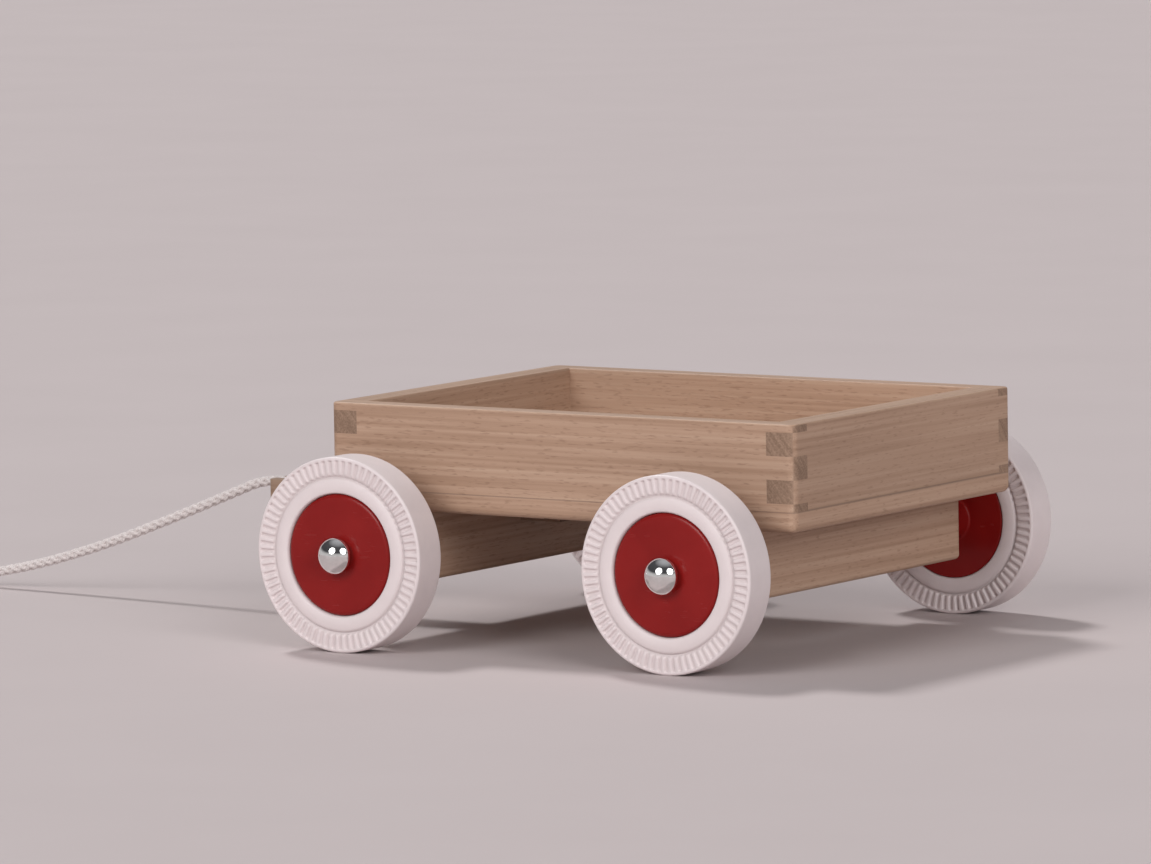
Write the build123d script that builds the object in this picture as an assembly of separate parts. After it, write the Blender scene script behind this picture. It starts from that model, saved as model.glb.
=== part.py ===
from build123d import *
import math
import os

# A small wooden toy wagon: a finger-jointed tray on two axle beams, four wheels, a tongue and a pull cord.
# Frame: +X forward, +Y to the wagon's left, +Z up, the floor at Z = 0, all sizes in millimetres.

# Tray frame and bottom board
tray_length = 224.0
tray_width = 168.0
frame_height = 35.0
side_thickness = 10.0
end_thickness = 13.0
end_finger_count = 2
finger_height = 9.5
corner_radius = 3.5
rim_radius = 1.0
board_thickness = 8.5
board_edge_radius = 3.0
field_height = 0.8
field_clearance = 0.15

# Axle beams, their dowels and the board's screws
board_rise = 15.0
beam_length = 164.0
beam_width = 34.0
beam_height = 29.0
beam_corner_radius = 2.5
beam_edge_radius = 2.0
front_axle_setback = 25.6
rear_axle_setback = 40.5
dowel_radius = 4.0
dowel_in_beam = 10.0
dowel_in_board = 5.0
dowel_spacing = 96.0
glue_clearance = 0.05
screw_shank_radius = 1.6
screw_head_radius = 3.4
screw_head_height = 2.6
screw_tip_length = 4.0
screw_sink = 0.3
board_screw_length = 24.0
board_screw_spacing = 50.0
board_screw_count = 3
tongue_screw_length = 17.0
tongue_screw_inset = 8.0

# Wheels, axles and their caps
wheel_radius = 40.0
tyre_width = 16.0
wheel_gap = 19.0
hub_radius = 25.0
hub_recess = 0.8
hub_edge_radius = 0.8
boss_radius = 9.0
boss_length = 8.5
shoulder_radius = 2.5
groove_radius = 32.0
groove_width = 1.2
groove_depth = 1.0
rib_count = 72
rib_outer_radius = 38.0
rib_gap = 1.5
rib_depth = 0.9
axle_radius = 2.5
axle_fit = 0.05
running_clearance = 0.08
end_play = 0.3
spacer_radius = 7.0
washer_radius = 6.0
washer_thickness = 1.0
cap_radius = 6.45
cap_skirt = 2.2
cap_height = 7.6
cap_socket = 5.0

# Tongue
tongue_reach = 86.0
tongue_length = 148.0
tongue_width = 18.0
tongue_height = 11.0
tongue_nose_radius = 3.0
notch_clearance = 0.1

# Pull cord, its coil, knob and knots
cord_diameter = 4.4
cord_hole_clearance = 0.35
cord_hole_setback = 12.0
cord_depth = 1.6
cord_bend_radius = 6.5
cord_floor_clearance = 0.1
knot_radius = 4.9
knot_clearance = 0.1
cord_end_length = 7.0
coil_radius = 28.0
coil_pitch = 5.5
coil_layer_turns = 0.875
coil_climb_turns = 0.5
coil_layer_step = 5.0
coil_samples = 500
knob_radius = 14.0
knob_length = 25.2
knob_edge_radius = 0.8

# Places that follow from the sizes
cord_radius = cord_diameter / 2
total_length = tray_length + tongue_reach
tray_rear = -total_length / 2
tray_front = tray_rear + tray_length
tongue_front = tray_front + tongue_reach
tongue_rear = tongue_front - tongue_length
axle_height = wheel_radius
board_bottom = axle_height + board_rise
board_top = board_bottom + board_thickness
tray_top = board_top + frame_height
beam_bottom = board_bottom - beam_height
tongue_bottom = board_bottom - tongue_height
half_width = tray_width / 2
half_beam = beam_length / 2
front_axle_x = tray_front - front_axle_setback
rear_axle_x = tray_rear + rear_axle_setback
tyre_inside = half_beam + wheel_gap
tyre_outside = tyre_inside + tyre_width
hub_inside = tyre_inside + hub_recess
hub_outside = tyre_outside - hub_recess
boss_inside = hub_inside - boss_length
washer_inside = hub_outside + end_play
cap_inside = washer_inside + washer_thickness
axle_end = cap_inside + cap_socket
finger_margin = (frame_height - (2 * end_finger_count - 1) * finger_height) / 2
cord_exit_z = board_bottom - cord_depth
cord_hole_x = tongue_front - cord_hole_setback
cord_floor_z = cord_radius + cord_floor_clearance


def block(x0, x1, y0, y1, z0, z1):
    """A box between two corners."""
    middle = Pos((x0 + x1) / 2, (y0 + y1) / 2, (z0 + z1) / 2)
    return middle * Box(x1 - x0, y1 - y0, z1 - z0)


def ring(inner, outer, y0, y1):
    """A plain ring about the Y axis."""
    profile = Pos((inner + outer) / 2, (y0 + y1) / 2) * Rectangle(outer - inner, y1 - y0)
    return revolve(profile, Axis.Y)


def upright_rod(x, y, z0, z1, radius):
    """A cylinder that stands along Z."""
    return Pos(x, y, (z0 + z1) / 2) * Cylinder(radius, z1 - z0)


def screw(x, y, length, z, grow=0.0):
    """A countersunk screw that points up, its head sunk above height z; grow turns it into an open hole."""
    mouth = [(0, 0), (screw_head_radius + grow, 0)] if grow else [(0, screw_sink)]
    outline = Polyline(
        *mouth,
        (screw_head_radius + grow, screw_sink),
        (screw_shank_radius + grow, screw_sink + screw_head_height),
        (screw_shank_radius + grow, length - screw_tip_length),
        (0, length + grow),
        close=True,
    )
    return Pos(x, y, z) * revolve(Plane.XZ * make_face(outline), Axis.Z)


# Fastener places
dowel_places = [
    (axle_x, side * dowel_spacing / 2)
    for axle_x in (front_axle_x, rear_axle_x)
    for side in (1, -1)
]
between_axles = (front_axle_x + rear_axle_x) / 2
first_board_screw = between_axles - (board_screw_count - 1) / 2 * board_screw_spacing
board_screw_places = [
    (first_board_screw + i * board_screw_spacing, side * (half_width - side_thickness / 2))
    for i in range(board_screw_count)
    for side in (1, -1)
]
tongue_screw_places = [
    (tongue_rear + tongue_screw_inset, 0.0),
    ((front_axle_x + beam_width / 2 + tray_front) / 2, 0.0),
]


def tray_shell():
    """The four walls as one ring with rounded corners and a softened rim; the panels are cut from it."""
    walls = block(tray_rear, tray_front, -half_width, half_width, board_top, tray_top)
    walls = fillet(walls.edges().filter_by(Axis.Z), corner_radius)
    walls -= block(
        tray_rear + end_thickness,
        tray_front - end_thickness,
        -half_width + side_thickness,
        half_width - side_thickness,
        board_top,
        tray_top,
    )
    return fillet(walls.faces().sort_by(Axis.Z)[-1].edges(), rim_radius)


def end_fingers(x0, x1):
    """The full fingers of one end panel, at both ends of it."""
    blocks = []
    for i in range(end_finger_count):
        low = board_top + finger_margin + 2 * i * finger_height
        for side in (1, -1):
            inner, outer = sorted((side * (half_width - side_thickness), side * half_width))
            blocks.append(block(x0, x1, inner, outer, low, low + finger_height))
    return blocks


def side_panel(shell):
    """The left long panel, notched for the end panels' fingers, with its screw holes."""
    region = block(tray_rear, tray_front, half_width - side_thickness, half_width, board_top, tray_top)
    panel = shell & region
    panel -= end_fingers(tray_rear, tray_rear + end_thickness)
    panel -= end_fingers(tray_front - end_thickness, tray_front)
    holes = [
        screw(x, y, board_screw_length, board_bottom, glue_clearance)
        for x, y in board_screw_places
        if y > 0
    ]
    return panel - holes


def end_panel(shell, x0, x1):
    """A short panel with its two fingers at each end."""
    region = block(x0, x1, -half_width + side_thickness, half_width - side_thickness, board_top, tray_top)
    return shell & (region + end_fingers(x0, x1))


def bottom_board():
    """The bottom, flush with the walls, with a raised field that sits inside them."""
    board = block(tray_rear, tray_front, -half_width, half_width, board_bottom, board_top)
    board = fillet(board.edges().filter_by(Axis.Z), corner_radius)
    board = fillet(board.faces().sort_by(Axis.Z)[0].edges(), board_edge_radius)
    field_x = end_thickness + field_clearance
    field_y = half_width - side_thickness - field_clearance
    board += block(
        tray_rear + field_x, tray_front - field_x, -field_y, field_y, board_top, board_top + field_height
    )
    board -= [
        upright_rod(x, y, board_bottom, board_bottom + dowel_in_board, dowel_radius + glue_clearance)
        for x, y in dowel_places
    ]
    board -= [screw(x, y, board_screw_length, board_bottom, glue_clearance) for x, y in board_screw_places]
    return board - [
        screw(x, y, tongue_screw_length, tongue_bottom, glue_clearance) for x, y in tongue_screw_places
    ]


def axle_beam(axle_x):
    """A wide cross beam with the axle's bore and the dowel holes."""
    beam = block(
        axle_x - beam_width / 2, axle_x + beam_width / 2, -half_beam, half_beam, beam_bottom, board_bottom
    )
    beam = fillet(beam.edges().filter_by(Axis.Z), beam_corner_radius)
    beam = fillet(beam.faces().sort_by(Axis.Z)[0].edges(), beam_edge_radius)
    beam -= Pos(axle_x, 0, axle_height) * Rot(90, 0, 0) * Cylinder(axle_radius + axle_fit, beam_length)
    return beam - [
        upright_rod(x, y, board_bottom - dowel_in_beam, board_bottom, dowel_radius + glue_clearance)
        for x, y in dowel_places
    ]


def tongue_notch():
    """The room for the tongue in the top of the front beam."""
    half = tongue_width / 2 + notch_clearance
    return block(tongue_rear, tray_front, -half, half, tongue_bottom - notch_clearance, board_bottom)


def anchor_path(below, ahead):
    """The cord's way up through the tongue and forward out of its end."""
    return FilletPolyline(
        (cord_hole_x, 0, tongue_bottom - below),
        (cord_hole_x, 0, cord_exit_z),
        (tongue_front + ahead, 0, cord_exit_z),
        radius=cord_bend_radius,
    )


def tube(path, radius):
    """A round cord along a path."""
    return sweep(Plane(origin=path @ 0, z_dir=path % 0) * Circle(radius), path=path)


def tongue():
    """The flat tongue under the board, with a hole and a groove for the cord at its nose."""
    bar = block(tongue_rear, tongue_front, -tongue_width / 2, tongue_width / 2, tongue_bottom, board_bottom)
    nose = bar.edges().filter_by(Axis.Z).sort_by(Axis.X)[-2:]
    bar = fillet(nose, tongue_nose_radius)
    hole_radius = cord_radius + cord_hole_clearance
    bar -= tube(anchor_path(hole_radius, hole_radius), hole_radius)
    bar -= block(
        cord_hole_x + cord_bend_radius, tongue_front, -hole_radius, hole_radius, cord_exit_z, board_bottom
    )
    return bar - [
        screw(x, y, tongue_screw_length, tongue_bottom, glue_clearance) for x, y in tongue_screw_places
    ]


def hub():
    """The round hub disc with a boss on its inner side, bored to turn on the axle."""
    bore = axle_radius + running_clearance
    disc = ring(bore, hub_radius, hub_inside, hub_outside)
    rims = disc.edges().filter_by(GeomType.CIRCLE).sort_by(SortBy.RADIUS)[-2:]
    disc = fillet(rims, hub_edge_radius)
    return disc + ring(bore, boss_radius, boss_inside, hub_inside)


def tyre():
    """The tyre: a smooth tread, and on both faces a ring groove with radial ribs outside it."""
    body = ring(hub_radius + glue_clearance, wheel_radius, tyre_inside, tyre_outside)
    rims = body.edges().filter_by(GeomType.CIRCLE).sort_by(SortBy.RADIUS)[-2:]
    body = fillet(rims, shoulder_radius)
    groove_inner = groove_radius - groove_width / 2
    groove_outer = groove_radius + groove_width / 2
    gap_length = rib_outer_radius - groove_radius
    cuts = []
    for face, inward in ((tyre_inside, 1), (tyre_outside, -1)):
        floor = sorted((face, face + inward * groove_depth))
        cuts.append(ring(groove_inner, groove_outer, *floor))
        for i in range(rib_count):
            gap = Pos(groove_radius + gap_length / 2, face, 0) * Box(gap_length, 2 * rib_depth, rib_gap)
            cuts.append(Rot(0, i * 360 / rib_count, 0) * gap)
    return body - cuts


def axle_cap():
    """A domed cap pressed on the end of the axle."""
    rise = cap_height - cap_skirt
    dome_radius = (cap_radius**2 + rise**2) / (2 * rise)
    dome_middle = cap_inside + cap_height - dome_radius
    half_sweep = math.atan2(cap_radius, cap_inside + cap_skirt - dome_middle) / 2
    crown = (dome_radius * math.sin(half_sweep), dome_middle + dome_radius * math.cos(half_sweep))
    skirt_top = (cap_radius, cap_inside + cap_skirt)
    peak = (0, cap_inside + cap_height)
    outline = Polyline(peak, (0, cap_inside), (cap_radius, cap_inside), skirt_top)
    outline += ThreePointArc(skirt_top, crown, peak)
    dome = revolve(make_face(outline), Axis.Y)
    socket = Pos(0, cap_inside + cap_socket / 2, 0) * Rot(90, 0, 0) * Cylinder(axle_radius, cap_socket)
    return dome - socket


def knot(x, y, z, direction):
    """A round stopper knot with a short cord end that points away from what it stops."""
    ball = Pos(x, y, z) * Sphere(knot_radius)
    end = Plane(origin=(x, y, z), z_dir=direction) * Pos(0, 0, (knot_radius + cord_end_length) / 2)
    return ball + end * Cylinder(cord_radius, knot_radius + cord_end_length)


def cord_radii(points):
    """The largest fair bend at each corner of a route."""
    route = [Vector(*point) for point in points]
    radii = []
    for before, corner, after in zip(route, route[1:], route[2:]):
        turn = math.radians((corner - before).get_angle(after - corner))
        shorter = min((corner - before).length, (after - corner).length)
        radii.append(0.45 * shorter / math.tan(turn / 2))
    return radii


def free_cord(name, points):
    """A free stretch of cord along a hand-laid route."""
    radii = cord_radii(points)
    path = FilletPolyline(*points, radius=radii)
    solid = tube(path, cord_radius)
    section = math.pi * cord_radius**2
    print(name, "radii", [round(radius, 1) for radius in radii], "length", round(path.length, 1))
    print(name, "volume", round(solid.volume, 1), "section times length", round(section * path.length, 1))
    return solid, path.length


# The cord's route from the tongue's nose down to the floor, as distances ahead of the nose and heights
cord_drop = [
    (0.0, cord_exit_z),
    (8.5, cord_exit_z),
    (24.0, 47.2),
    (54.0, 35.6),
    (92.0, 21.6),
    (129.0, 10.9),
    (162.0, 4.6),
    (186.0, cord_floor_z),
    (202.0, cord_floor_z),
]
cord_route = [(tongue_front + ahead, 0.0, height) for ahead, height in cord_drop]

# The coil lies ahead of the route's end, to its left
coil_start_x = cord_route[-1][0] + cord_diameter
coil_turns = 2 * coil_layer_turns + coil_climb_turns


def coil_point(turn):
    """The cord's middle after a number of turns: in on the floor, up a layer, and out again on top."""
    climb = min(max((turn - coil_layer_turns) / coil_climb_turns, 0.0), 1.0)
    inner = coil_radius - coil_pitch * coil_layer_turns
    if turn < coil_layer_turns:
        radius = coil_radius - coil_pitch * turn
    elif climb < 1.0:
        radius = inner - coil_pitch * coil_climb_turns * climb * (1 - climb)
    else:
        radius = inner + coil_pitch * (turn - coil_layer_turns - coil_climb_turns)
    height = cord_floor_z + coil_layer_step * climb**2 * (3 - 2 * climb)
    angle = 2 * math.pi * turn - math.pi / 2
    return Vector(
        coil_start_x + radius * math.cos(angle), coil_radius + radius * math.sin(angle), height
    )


def coil_tangent(turn):
    """The cord's direction there; both ends lie square to the coil's radius."""
    if turn <= 0 or turn >= coil_turns:
        angle = 2 * math.pi * turn
        return Vector(math.cos(angle), math.sin(angle), 0)
    step = 1e-4
    return (coil_point(turn + step) - coil_point(turn - step)).normalized()


def biarc(start, start_tangent, end, end_tangent):
    """Two arcs that join two points with given directions."""
    chord = end - start
    along = chord.dot(start_tangent + end_tangent)
    spread = 2 * (1 - start_tangent.dot(end_tangent))
    reach = (-along + math.sqrt(along**2 + spread * chord.dot(chord))) / spread
    joint = (start + end + (start_tangent - end_tangent) * reach) * 0.5
    across = (end - end_tangent * reach - start - start_tangent * reach).normalized()
    return [
        Edge.make_tangent_arc(start, start_tangent, joint),
        Edge.make_tangent_arc(joint, across, end),
    ]


def cord_coil():
    """The spare length in two neat layers, swept on a pair of arcs for each quarter turn."""
    count = round(4 * coil_turns)
    turns = [coil_turns * i / count for i in range(count + 1)]
    points = [coil_point(turn) for turn in turns]
    tangents = [coil_tangent(turn) for turn in turns]
    edges = [Edge.make_line(points[0] - tangents[0] * cord_diameter, points[0])]
    for i in range(count):
        edges += biarc(points[i], tangents[i], points[i + 1], tangents[i + 1])
    edges.append(Edge.make_line(points[-1], points[-1] + tangents[-1] * cord_diameter))
    path = Wire(edges)
    samples = [path.position_at(i / coil_samples) for i in range(coil_samples + 1)]
    apart = round(coil_samples * 2 * cord_diameter / path.length) + 1
    least = min(
        (samples[i] - samples[j]).length
        for i in range(coil_samples + 1)
        for j in range(i + apart, coil_samples + 1)
    )
    solid = tube(path, cord_radius)
    print("cord_coil least gap", round(least - cord_diameter, 2), "length", round(path.length, 1))
    section = math.pi * cord_radius**2
    print("cord_coil volume", round(solid.volume, 1), "section times length", round(section * path.length, 1))
    return solid, path.length


# The tail from the coil's end up into the knob, as distances along it and heights
tail_start = coil_point(coil_turns) + coil_tangent(coil_turns) * cord_diameter
knob_height = knob_radius + cord_floor_clearance
tail_rise = [(0.0, tail_start.Z), (15.0, tail_start.Z), (40.0, knob_height), (54.0, knob_height)]
tail_route = [(tail_start.X, tail_start.Y + along, height) for along, height in tail_rise]
knob_y = tail_route[-1][1] + knob_length / 2


def pull_knob():
    """A turned wooden ball with small flats where the cord goes through."""
    ball = Sphere(knob_radius) & Box(2 * knob_radius, knob_length, 2 * knob_radius)
    ball -= Rot(90, 0, 0) * Cylinder(cord_radius + cord_hole_clearance, knob_length)
    mouths = ball.edges().filter_by(GeomType.CIRCLE).sort_by(SortBy.RADIUS)[:2]
    ball = fillet(mouths, knob_edge_radius)
    return Pos(tail_start.X, knob_y, knob_height) * ball


def end_knot():
    """The cord inside the knob and the knot that holds the knob on."""
    through = knob_length + knot_clearance + knot_radius
    start = knob_y - knob_length / 2
    stretch = Pos(tail_start.X, start + through / 2, knob_height) * Rot(90, 0, 0)
    stopper = knot(tail_start.X, start + through, knob_height, (0, 1, 0))
    return stretch * Cylinder(cord_radius, through) + stopper


def cord_anchor():
    """The cord inside the tongue and the stopper knot under it."""
    drop = knot_clearance + knot_radius
    stretch = tube(anchor_path(drop, 0), cord_radius)
    return stretch + knot(cord_hole_x, 0, tongue_bottom - drop, (0, 0, -1))


parts = {}

# Tray
shell = tray_shell()
left_panel = side_panel(shell)
parts["side_panel_left"] = left_panel
parts["side_panel_right"] = mirror(left_panel, about=Plane.XZ)
parts["end_panel_front"] = end_panel(shell, tray_front - end_thickness, tray_front)
parts["end_panel_rear"] = end_panel(shell, tray_rear, tray_rear + end_thickness)
parts["bottom_board"] = bottom_board()
for number, (x, y) in enumerate(board_screw_places, 1):
    parts[f"board_screw_{number}"] = screw(x, y, board_screw_length, board_bottom)

# Running gear that stays put
parts["axle_beam_front"] = axle_beam(front_axle_x) - tongue_notch()
parts["axle_beam_rear"] = axle_beam(rear_axle_x)
for number, (x, y) in enumerate(dowel_places, 1):
    parts[f"beam_dowel_{number}"] = upright_rod(
        x, y, board_bottom - dowel_in_beam, board_bottom + dowel_in_board, dowel_radius
    )
parts["tongue"] = tongue()
for number, (x, y) in enumerate(tongue_screw_places, 1):
    parts[f"tongue_screw_{number}"] = screw(x, y, tongue_screw_length, tongue_bottom)

# Axles and wheels; each wheel piece is made once about the Y axis and set at the four corners
axle = Rot(90, 0, 0) * Cylinder(axle_radius, 2 * axle_end)
corner_pieces = {
    "hub": hub(),
    "tyre": tyre(),
    "axle_cap": axle_cap(),
    "axle_washer": ring(axle_radius + axle_fit, washer_radius, washer_inside, cap_inside),
    "axle_spacer": ring(axle_radius + axle_fit, spacer_radius, half_beam, boss_inside - end_play),
}
for end, axle_x in (("front", front_axle_x), ("rear", rear_axle_x)):
    centre = Pos(axle_x, 0, axle_height)
    parts[f"axle_{end}"] = centre * axle
    for side, turn in (("left", 0), ("right", 180)):
        for name, piece in corner_pieces.items():
            parts[f"{name}_{end}_{side}"] = centre * Rot(0, 0, turn) * piece

# Cord
parts["cord_anchor"] = cord_anchor()
parts["pull_cord"], drop_length = free_cord("pull_cord", cord_route)
parts["cord_coil"], coil_length = cord_coil()
parts["cord_tail"], tail_length = free_cord("cord_tail", tail_route)
parts["pull_knob"] = pull_knob()
parts["end_knot"] = end_knot()
print("free cord length", round(drop_length + coil_length + tail_length, 1))

os.makedirs("parts", exist_ok=True)
for name, piece in parts.items():
    export_step(piece, f"parts/{name}.step")
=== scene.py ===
import math

import bmesh
import bpy
import numpy as np
from mathutils import Matrix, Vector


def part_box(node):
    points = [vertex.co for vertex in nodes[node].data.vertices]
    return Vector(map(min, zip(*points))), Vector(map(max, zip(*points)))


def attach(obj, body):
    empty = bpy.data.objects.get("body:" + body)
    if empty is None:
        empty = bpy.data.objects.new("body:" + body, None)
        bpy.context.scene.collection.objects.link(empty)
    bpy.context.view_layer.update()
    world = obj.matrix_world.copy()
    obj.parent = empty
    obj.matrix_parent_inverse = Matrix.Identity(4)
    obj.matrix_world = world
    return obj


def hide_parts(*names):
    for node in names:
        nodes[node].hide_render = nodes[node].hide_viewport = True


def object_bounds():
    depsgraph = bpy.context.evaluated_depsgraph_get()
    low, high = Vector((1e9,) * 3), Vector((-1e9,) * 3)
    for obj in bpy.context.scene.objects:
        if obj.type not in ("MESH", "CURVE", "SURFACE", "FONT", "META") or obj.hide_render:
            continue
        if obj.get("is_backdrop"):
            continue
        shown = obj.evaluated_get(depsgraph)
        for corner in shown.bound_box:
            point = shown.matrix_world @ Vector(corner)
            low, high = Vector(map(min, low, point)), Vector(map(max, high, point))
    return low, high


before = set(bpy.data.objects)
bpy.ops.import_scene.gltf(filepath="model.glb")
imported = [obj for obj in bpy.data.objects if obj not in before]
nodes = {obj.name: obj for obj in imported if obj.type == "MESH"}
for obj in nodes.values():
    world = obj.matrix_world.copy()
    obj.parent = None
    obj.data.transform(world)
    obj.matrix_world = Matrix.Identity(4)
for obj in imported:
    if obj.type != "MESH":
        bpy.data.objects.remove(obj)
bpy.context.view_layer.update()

bpy.context.scene.view_settings.view_transform = "Standard"

# Camera
# A long lens a good way off, behind the wagon's left rear corner and a little above its rim.
# Its frame is 1151 by 864 pixels, and the wagon's origin shows at origin_px in it.
frame_px = (1151, 864)
origin_px = (587.7, 626.2)
focal_px = 9000.0
camera_azimuth = math.radians(33.60)
camera_elevation = math.radians(5.98)
camera_roll = math.radians(-0.97)
camera_distance = 3.7287
sensor_width = 36.0

back = np.array([
    -math.sin(camera_azimuth) * math.cos(camera_elevation),
    math.cos(camera_azimuth) * math.cos(camera_elevation),
    math.sin(camera_elevation),
])
level = np.cross([0.0, 0.0, 1.0], back)
level /= np.linalg.norm(level)
upright = np.cross(back, level)
right = math.cos(camera_roll) * level + math.sin(camera_roll) * upright
up = math.cos(camera_roll) * upright - math.sin(camera_roll) * level
aside = (origin_px[0] - frame_px[0] / 2) / focal_px * camera_distance
below = (origin_px[1] - frame_px[1] / 2) / focal_px * camera_distance
eye = camera_distance * back - aside * right + below * up

camera_data = bpy.data.cameras.new("photo_camera")
camera_data.sensor_width = sensor_width
camera_data.lens = focal_px * sensor_width / frame_px[0]
camera_data.clip_end = 20.0
camera = bpy.data.objects.new("photo_camera", camera_data)
bpy.context.collection.objects.link(camera)
placing = np.eye(4)
placing[:3, 0], placing[:3, 1], placing[:3, 2], placing[:3, 3] = right, up, back, eye
camera.matrix_world = Matrix(placing.tolist())
bpy.context.scene.camera = camera

# Floor and studio light
# A plain pale table top. The main light stands high behind the wagon's front and throws its shadow to
# the rear; two broad fills come from the camera's side, left and right of it, in surroundings that are
# bright at the horizon and overhead and dim between.


def put(tree, kind, sockets=(), **settings):
    """One shader node: its settings, then its sockets, each a plain value or another node's output."""
    made = tree.nodes.new("ShaderNode" + kind)
    for key, value in settings.items():
        setattr(made, key, value)
    for key, value in dict(sockets).items():
        if isinstance(value, bpy.types.NodeSocket):
            tree.links.new(value, made.inputs[key])
        else:
            made.inputs[key].default_value = value
    return made


def finish_of(name):
    """A new material with its node tree and its main shader."""
    material = bpy.data.materials.new(name)
    material.use_nodes = True
    return material, material.node_tree, material.node_tree.nodes["Principled BSDF"]


def ramp(tree, value, stops):
    """A colour ramp through (place, colour) stops."""
    made = put(tree, "ValToRGB", {"Fac": value})
    elements = made.color_ramp.elements
    for element, (place, colour) in zip(elements, (stops[0], stops[-1])):
        element.position = place
        element.color = (*colour, 1.0)
    for place, colour in stops[1:-1]:
        elements.new(place).color = (*colour, 1.0)
    return made.outputs["Color"]


floor_half = 6.0
floor_colour_low = (0.566, 0.494, 0.492)
floor_colour_high = (0.580, 0.507, 0.505)
floor_corners = np.array([(-1, -1, 0), (1, -1, 0), (1, 1, 0), (-1, 1, 0)]) * floor_half
floor_mesh = bpy.data.meshes.new("floor")
floor_mesh.from_pydata(floor_corners.tolist(), [], [(0, 1, 2, 3)])
floor = bpy.data.objects.new("floor", floor_mesh)
bpy.context.collection.objects.link(floor)
floor_finish, floor_tree, floor_shader = finish_of("pale_table")
floor_where = put(floor_tree, "TexCoord")
floor_mottle = put(
    floor_tree, "TexNoise", {"Vector": floor_where.outputs["Object"], "Scale": 9.0, "Detail": 4.0}
)
floor_colour = ramp(
    floor_tree, floor_mottle.outputs[0], [(0.3, floor_colour_low), (0.7, floor_colour_high)]
)
floor_tree.links.new(floor_colour, floor_shader.inputs["Base Color"])
floor_shader.inputs["Roughness"].default_value = 0.75
floor_shader.inputs["Specular IOR Level"].default_value = 0.25
floor_mesh.materials.append(floor_finish)
floor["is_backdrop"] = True

sky_by_height = [
    (0.0, (0.62, 0.60, 0.60)),
    (0.16, (0.56, 0.55, 0.55)),
    (0.32, (0.06, 0.06, 0.065)),
    (0.75, (0.08, 0.08, 0.085)),
    (1.0, (0.45, 0.45, 0.47)),
]
world = bpy.data.worlds.new("studio")
bpy.context.scene.world = world
world.use_nodes = True
world_tree = world.node_tree
world_way = put(world_tree, "TexCoord")
world_height = put(world_tree, "SeparateXYZ", {0: world_way.outputs["Generated"]})
world_colour = ramp(world_tree, world_height.outputs["Z"], sky_by_height)
world_tree.links.new(world_colour, world_tree.nodes["Background"].inputs["Color"])


def far_lamp(name, towards, strength, spread):
    """A lamp far off in the direction towards, as wide as spread in degrees."""
    lamp_data = bpy.data.lights.new(name, "SUN")
    lamp_data.energy = strength
    lamp_data.angle = math.radians(spread)
    lamp = bpy.data.objects.new(name, lamp_data)
    bpy.context.collection.objects.link(lamp)
    facing = np.array(towards) / np.linalg.norm(towards)
    across = np.cross([0.0, 0.0, 1.0], facing)
    across /= np.linalg.norm(across)
    pose = np.eye(4)
    pose[:3, 0], pose[:3, 1], pose[:3, 2] = across, np.cross(facing, across), facing
    lamp.matrix_world = Matrix(pose.tolist())


far_lamp("main_light", towards=(0.55, -0.34, 0.77), strength=1.5, spread=9.0)
far_lamp("front_fill", towards=(0.10, 0.88, 0.46), strength=1.45, spread=32.0)
far_lamp("rear_fill", towards=(-0.78, 0.44, 0.45), strength=1.15, spread=32.0)

# Tray, beams and tongue
# Sawn and planed beech boards under a thin clear satin lacquer. The four walls are glued with
# finger joints, whose ends show as darker end grain; the bottom board is screwed on from below.
beech_dark = (0.368, 0.226, 0.150)
beech_middle = (0.452, 0.290, 0.202)
beech_light = (0.515, 0.348, 0.250)
beech_fleck = (0.235, 0.130, 0.080)
end_grain_dark = (0.235, 0.145, 0.098)
end_grain_light = (0.365, 0.240, 0.168)
ring_slant = 0.65
streak_stretch = (7.0, 560.0, 560.0)
tone_stretch = (5.0, 26.0, 26.0)
fleck_stretch = (210.0, 2600.0, 1500.0)
pore_stretch = (1400.0, 1400.0, 1400.0)
ring_stretch = (40.0, 640.0, 60.0)


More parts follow.
